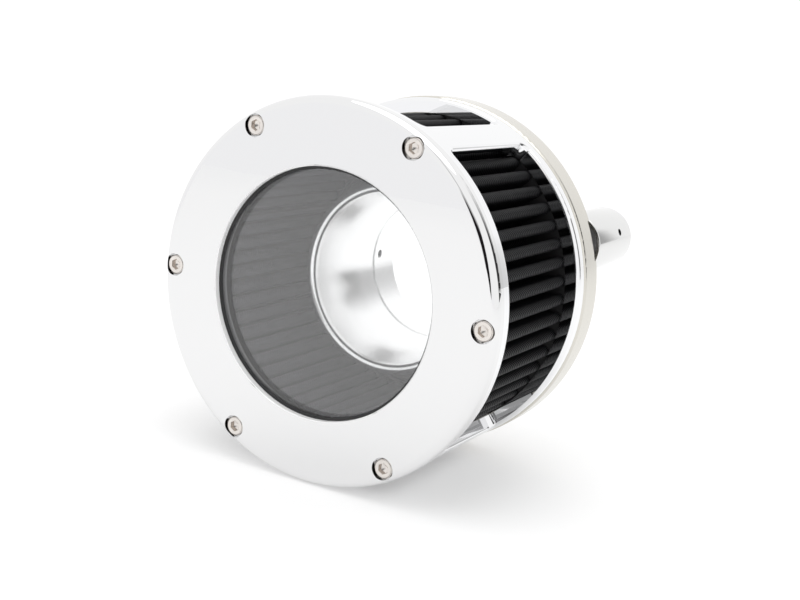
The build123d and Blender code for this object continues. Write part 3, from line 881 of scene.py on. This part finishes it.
@dataclass
class FilterElement:
    """Pleated gauze wall between two moulded end rings."""

    pleats: int = 54
    crest_radius: float = 2.1 * MM      # rounding of an outer fold
    root_radius: float = 2.2 * MM       # rounding of an inner fold
    inner: float = 51.7 * MM
    sheet: float = 0.5 * MM
    fold_weld: float = 0.02 * MM        # roots closer than this are joined
    end_inner: float = 50.7 * MM        # inner radius of the end rings
    edge: float = 0.8 * MM              # rounding of the end rings
    rib_rise: float = 0.5 * MM
    rib_foot: float = 1.6 * MM          # half the width of the sealing rib at its foot
    rib_top: float = 1.0 * MM           # half its width at the top
    body: str = "base"

    def fold(self, outer: float) -> list[Corner]:
        """Half of one pleat, as (x, z) from the middle of its crest to the middle of its root.

        Args:
            outer: radius of the crests.

        Returns:
            The corners.
        """
        half = math.pi / self.pleats
        crest = [
            (outer - self.crest_radius * (1 - math.cos(a)), self.crest_radius * math.sin(a))
            for a in (math.radians(t) for t in (0, 15, 30, 45, 60, 75, 90, 100))
        ]
        root = []
        for t in (80, 60, 40, 20, 0):
            a = math.radians(t)
            radial = self.inner + self.root_radius * (1 - math.cos(a))
            tangential = -self.root_radius * math.sin(a)
            root.append((radial * math.cos(half) - tangential * math.sin(half),
                         radial * math.sin(half) + tangential * math.cos(half)))
        return crest + root

    def model_pleats(self, low: Vector, high: Vector) -> bpy.types.Object:
        """Fold one pleat from a strip and carry it round the axis.

        Args:
            low: lowest corner of the gauze's box.
            high: its highest corner.

        Returns:
            The gauze.
        """
        half = self.fold(high.x - self.sheet / 2)
        line = [(x, -z) for x, z in reversed(half)] + half[1:]
        (x0, z0), (x1, z1) = line[0], line[1]
        run = math.hypot(x1 - x0, z1 - z0)
        deselect()
        bpy.ops.mesh.primitive_plane_add(size=1.0)
        gauze = bpy.context.object
        gauze.scale = (run, high.y - low.y, 1)
        gauze.rotation_euler = (0, -math.atan2(z1 - z0, x1 - x0), 0)
        gauze.location = ((x0 + x1) / 2, (low.y + high.y) / 2, (z0 + z1) / 2)
        settle(gauze, "gauze")
        edit(gauze)
        pick(gauze, "VERT", lambda place, _: math.hypot(place.x - x1, place.z - z1) < WELD)
        bpy.ops.mesh.select_mode(type="EDGE")
        for (xa, za), (xb, zb) in zip(line[1:], line[2:]):
            bpy.ops.mesh.extrude_region_move(
                TRANSFORM_OT_translate={"value": (xb - xa, 0, zb - za)})
        deselect()
        self.lay_weave(gauze, line, low.y)
        edit(gauze)
        bpy.ops.mesh.select_all(action="SELECT")
        turn = 2 * math.pi * (self.pleats - 1) / self.pleats
        bpy.ops.mesh.spin(
            steps=self.pleats - 1, dupli=True, angle=turn, center=(0, 0, 0), axis=(0, 1, 0))
        bpy.ops.mesh.select_all(action="SELECT")
        bpy.ops.mesh.remove_doubles(threshold=self.fold_weld)
        bpy.ops.mesh.normals_make_consistent(inside=False)
        deselect()
        modify(gauze, "SOLIDIFY", thickness=self.sheet, offset=0.0, use_rim=True)
        smooth(gauze, 60.0)
        return gauze

    def lay_weave(self, gauze: bpy.types.Object, line: Sequence[Corner], start: float) -> None:
        """Give the strip a UV map in metres along its fold and along the axis.

        Args:
            gauze: the folded strip.
            line: its corners.
            start: y of its front edge.
        """
        reach = [0.0]
        for (xa, za), (xb, zb) in zip(line, line[1:]):
            reach.append(reach[-1] + math.hypot(xb - xa, zb - za))
        whole = GAUZE.wire_pitch * round(reach[-1] / GAUZE.wire_pitch)
        weave = gauze.data.uv_layers.new(name="weave")
        for loop in gauze.data.loops:
            place = gauze.data.vertices[loop.vertex_index].co
            spot = (place.x, place.z)
            near = min(range(len(line)), key=lambda k: math.dist(spot, line[k]))
            weave.data[loop.index].uv = (reach[near] * whole / reach[-1], place.y - start)

    def model_end(self, name: str, node: str, lip: float) -> bpy.types.Object:
        """Turn one moulded end ring with rounded rims and a shallow sealing rib.

        Args:
            name: the ring's name.
            node: the CAD node it stands for.
            lip: +1 if its free face looks along +Y, or -1.

        Returns:
            The ring.
        """
        low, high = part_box(node)
        inner, outer, e = self.end_inner, high.x, self.edge
        rib = (inner + outer) / 2
        free, held = (high.y, low.y) if lip > 0 else (low.y, high.y)
        flat = free - self.rib_rise * lip
        corners = [(inner, held), (outer, held), (outer, free - lip * e)]
        corners += [(outer - e * (1 - math.cos(a)), flat - lip * e * (1 - math.sin(a)))
                    for a in (math.radians(t) for t in (30, 60, 90))]
        corners += [(rib + self.rib_foot, flat), (rib + self.rib_top, free),
                    (rib - self.rib_top, free), (rib - self.rib_foot, flat),
                    (inner + e, flat), (inner, flat - lip * e)]
        ring = lathe(name, corners, 192)
        smooth(ring, 40.0)
        return ring

    def build(self) -> None:
        """Model the element and set it in the base."""
        low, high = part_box("filter_media")
        gauze = self.model_pleats(low, high)
        fit(gauze, GAUZE, self.body, "filter_media")
        LOG.info("gauze: %d pleats, %d faces", self.pleats, len(gauze.data.polygons))
        for name, node, lip in (("front_end_ring", "filter_front_seal", -1),
                                ("rear_end_ring", "filter_rear_seal", 1)):
            fit(self.model_end(name, node, lip), RUBBER, self.body, node)
            LOG.info("%s turned for %s", name, node)
        STRIP.dress_nodes("filter_seam_strip")


@dataclass
class IntakeBell:
    """Spun bell with its rolled lip, and the adapter behind the back plate."""

    bead: float = 2.3 * MM
    throat: float = 30.4 * MM
    wall: float = 2.0 * MM
    flare: float = 0.4 * MM
    flange: float = 35.4 * MM
    flange_thick: float = 2.0 * MM
    spigot: float = 33.0 * MM
    spigot_length: float = 7.8 * MM
    groove_start: float = 3.1 * MM
    groove_width: float = 1.8 * MM
    groove_depth: float = 1.2 * MM
    bow: float = 0.75 * MM
    body: str = "base"

    def bell_wall(self, start: Corner, end: Corner, steps: int) -> list[Corner]:
        """Corners along one bowed side of the bell's wall.

        Args:
            start: first corner.
            end: last corner.
            steps: how many straight steps it is drawn in.

        Returns:
            The corners, both ends included.
        """
        made = []
        for k in range(steps + 1):
            t = k / steps
            sag = self.bow * 4 * t * (1 - t)
            made.append((start[0] + (end[0] - start[0]) * t - sag,
                         start[1] + (end[1] - start[1]) * t))
        return made

    def model(self) -> bpy.types.Object:
        """Turn the bell.

        Returns:
            The bell.
        """
        low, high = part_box("velocity_stack")
        lip_r = high.x - self.bead
        lip_y = low.y + self.bead
        end = high.y
        seat = end - self.spigot_length
        face = seat - self.flange_thick
        base = self.throat + self.flare
        groove = seat + self.groove_start
        floor = self.spigot - self.groove_depth
        inner_join = (lip_r - self.bead, lip_y)
        outer_join = (lip_r - self.bead + self.wall, lip_y + self.bead * 0.98)
        corners = [(self.throat, end)]
        corners += self.bell_wall((base, face), inner_join, 24)
        corners += arc((lip_r, lip_y), self.bead, -180.0, 96.0, 24)[1:]
        corners += self.bell_wall(outer_join, (base + self.wall, face), 24)[1:]
        corners += [
            (self.flange, face), (self.flange, seat), (self.spigot, seat),
            (self.spigot, groove), (floor, groove), (floor, groove + self.groove_width),
            (self.spigot, groove + self.groove_width), (self.spigot, end),
        ]
        bell = lathe("intake_bell", corners, 192)
        smooth(bell, 32.0)
        return bell

    def build(self) -> None:
        """Model the bell and dress what it stands in."""
        bell = self.model()
        fit(bell, SPUN, self.body, "velocity_stack")
        LOG.info("bell turned, %d faces", len(bell.data.polygons))
        SPUN.dress_nodes("throttle_adapter")
        RUBBER.dress_nodes("stack_o_ring", "throttle_o_ring")


class BackPlate:
    """Thick back plate and the screws that hold the adapter; all of it is CAD."""

    def build(self) -> None:
        """Dress the plate's nodes."""
        SATIN.dress_nodes("back_plate")
        STEEL.dress_nodes("adapter_screws")


@dataclass
class Breather:
    """One breather bolt with its washer, seal and turned standoff."""

    side: str
    radius: float = 12.9 * MM
    bore: float = 4.9 * MM
    front_edge: float = 0.5 * MM
    rear_edge: float = 1.8 * MM
    seal_outer: float = 9.4 * MM
    seal_inner: float = 7.2 * MM
    seal_depth: float = 1.8 * MM
    vent_radius: float = 1.5 * MM
    vent_from_end: float = 14.5 * MM
    vent_rise: float = 22.0             # degrees above level
    body: str = "base"

    def model_standoff(self) -> bpy.types.Object:
        """Turn the standoff and drill its vent.

        Returns:
            The standoff.
        """
        low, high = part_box(f"breather_standoff_{self.side}")
        middle = ((low.x + high.x) / 2, (low.z + high.z) / 2)
        e, f = self.rear_edge, self.front_edge
        corners = [(self.bore, low.y), (self.radius - f, low.y)]
        corners += arc((self.radius - f, low.y + f), f, -90.0, 0.0, 4)[1:]
        corners += arc((self.radius - e, high.y - e), e, 0.0, 90.0, 10)
        floor = high.y - self.seal_depth
        corners += [
            (self.seal_outer, high.y), (self.seal_outer, floor),
            (self.seal_inner, floor), (self.seal_inner, high.y), (self.bore, high.y),
        ]
        standoff = lathe(f"standoff_{self.side}", corners, 128, middle)
        side = 1.0 if middle[0] > 0 else -1.0
        rise = math.radians(self.vent_rise)
        way = Vector((side * math.cos(rise), 0.0, math.sin(rise)))
        start = Vector((middle[0], high.y - self.vent_from_end, middle[1]))
        deselect()
        bpy.ops.mesh.primitive_cylinder_add(
            vertices=32, radius=self.vent_radius, depth=self.radius * 1.2,
            location=start + way * self.radius * 0.75,
            rotation=way.to_track_quat("Z", "Y").to_euler())
        drill = settle(bpy.context.object, "vent_drill")
        modify(standoff, "BOOLEAN", operation="DIFFERENCE", solver="EXACT", object=drill)
        bpy.data.objects.remove(drill)
        smooth(standoff, 30.0)
        return standoff

    def build(self) -> None:
        """Turn the standoff and dress the breather's nodes."""
        standoff = self.model_standoff()
        fit(standoff, STEM, self.body, f"breather_standoff_{self.side}")
        LOG.info("%s standoff turned, %d faces", self.side, len(standoff.data.polygons))
        STEEL.dress_nodes(f"breather_bolt_{self.side}")
        FACED.dress_nodes(f"breather_washer_{self.side}")
        RUBBER.dress_nodes(f"breather_seal_{self.side}", f"head_seal_{self.side}")


@dataclass(frozen=True)
class Gap:
    """Dark place in the studio's light; angles in degrees, turn from the front towards +X."""

    turn: float
    half: float
    low: float
    high: float
    depth: float
    lean: float = 0.0     # degrees of turn for each degree of rise
    soft: float = 3.0
    fade: float = 12.0


@dataclass
class Studio:
    """Floor, soft light and camera."""

    lens: float = 56.25             # mm
    sensor: float = 36.0            # mm
    spot: Place = (0.25003, -0.49692, 0.09962)
    forward: Place = (-0.47247, 0.85641, -0.20818)
    up: Place = (-0.18383, 0.13526, 0.97361)
    floor: float = -75.0 * MM       # z of the paper, under the rim
    paper_half: float = 6.0         # half the paper's width
    paper_front: float = -0.89      # y of its front edge
    paper_rear: float = 9.0
    light: float = 1.1
    overhead: float = 6.0           # watts
    overhead_width: float = 1.6
    overhead_spot: Place = (0.1, -0.2, 1.5)
    dark: Colour = (0.012, 0.011, 0.012)
    backdrop: Colour = (0.985, 0.985, 0.995)
    backdrop_turn: float = -20.0    # degrees from the front towards +X
    backdrop_half: float = 70.0
    backdrop_top: float = 12.0
    backdrop_fade: tuple[float, float] = (20.0, 10.0)   # sideways and upwards
    gaps: tuple[Gap, ...] = (
        Gap(turn=2.0, half=13.0, low=-14.0, high=26.0, depth=1.0, lean=0.75, soft=2.5),
        Gap(turn=16.0, half=4.0, low=20.0, high=68.0, depth=0.6, soft=2.5),
        Gap(turn=122.0, half=16.0, low=-14.0, high=50.0, depth=0.97, soft=7.0, fade=25.0),
        Gap(turn=140.0, half=18.0, low=-14.0, high=42.0, depth=0.6, soft=8.0, fade=20.0),
    )

    def lay_floor(self) -> None:
        """Lay the paper that the rim rests on."""
        deselect()
        bpy.ops.mesh.primitive_plane_add(size=1.0)
        paper = bpy.context.object
        paper.scale = (2 * self.paper_half, self.paper_rear - self.paper_front, 1.0)
        paper.location = (0.0, (self.paper_rear + self.paper_front) / 2, self.floor)
        settle(paper, "studio_paper")
        StudioPaper("studio_paper", "").dress(paper)

    def light_world(self) -> None:
        """Surround the object with soft white light that has a few dark gaps."""
        world = bpy.data.worlds.new("studio")
        bpy.context.scene.world = world
        world.use_nodes = True
        sheet = Sheet(world.node_tree)
        x, y, z = sheet.axes(sheet.node("ShaderNodeTexCoord").outputs["Generated"])
        turn = x.math("ARCTAN2", y * -1.0) * (180.0 / math.pi)
        rise = z.math("ARCSINE") * (180.0 / math.pi)
        lit: Value = 1.0
        for gap in self.gaps:
            away = abs(turn - (rise * gap.lean + gap.turn))
            across = ((gap.half - away) / gap.soft).fenced(0.0, 1.0)
            above = ((rise - gap.low) / gap.soft).fenced(0.0, 1.0)
            below = ((gap.high - rise) / gap.fade).fenced(0.0, 1.0)
            lit = (1.0 - across * above * below * gap.depth) * lit
        sideways, upwards = self.backdrop_fade
        aside = abs(turn - self.backdrop_turn)
        front = ((self.backdrop_half - aside) / sideways).fenced(0.0, 1.0)
        front = front * ((self.backdrop_top - rise) / upwards).fenced(0.0, 1.0)
        wall = sheet.blend(front, WHITE, self.backdrop)
        tint = sheet.blend(lit, self.dark, wall)
        glow = sheet.node("ShaderNodeBackground", inputs={"Color": tint, "Strength": self.light})
        output = sheet.node("ShaderNodeOutputWorld")
        sheet.tree.links.new(glow.outputs[0], output.inputs["Surface"])

    def hang_light(self) -> None:
        """Hang a large soft lamp over the object to lift the paper round it."""
        data = bpy.data.lights.new("overhead", "AREA")
        data.shape = "DISK"
        data.size = self.overhead_width
        data.energy = self.overhead
        lamp = bpy.data.objects.new("overhead", data)
        bpy.context.scene.collection.objects.link(lamp)
        lamp.location = self.overhead_spot

    def stand_camera(self) -> None:
        """Stand the camera where it looks down on the face from the right."""
        data = bpy.data.cameras.new("studio_camera")
        camera = bpy.data.objects.new("studio_camera", data)
        bpy.context.scene.collection.objects.link(camera)
        ahead = Vector(self.forward).normalized()
        right = ahead.cross(Vector(self.up)).normalized()
        true_up = right.cross(ahead)
        turned = Matrix((right, true_up, -ahead)).transposed()
        camera.matrix_world = Matrix.Translation(Vector(self.spot)) @ turned.to_4x4()
        data.lens = self.lens
        data.sensor_width = self.sensor
        data.clip_start = 0.01
        data.clip_end = 50.0
        bpy.context.scene.camera = camera

    def build(self) -> None:
        """Build the studio round the object."""
        bpy.context.scene.view_settings.view_transform = "Standard"
        self.lay_floor()
        self.light_world()
        self.hang_light()
        self.stand_camera()
        LOG.info("studio ready")


def main() -> None:
    """Build the looks of the air cleaner in order."""
    logging.basicConfig(level=logging.INFO, format="%(message)s")
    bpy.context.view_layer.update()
    Studio().build()
    FaceCover().build()
    CoverScrews().build()
    Cage().build()
    FilterElement().build()
    IntakeBell().build()
    BackPlate().build()
    for side in ("right", "left"):
        Breather(side).build()


if __name__ == "__main__":
    main()
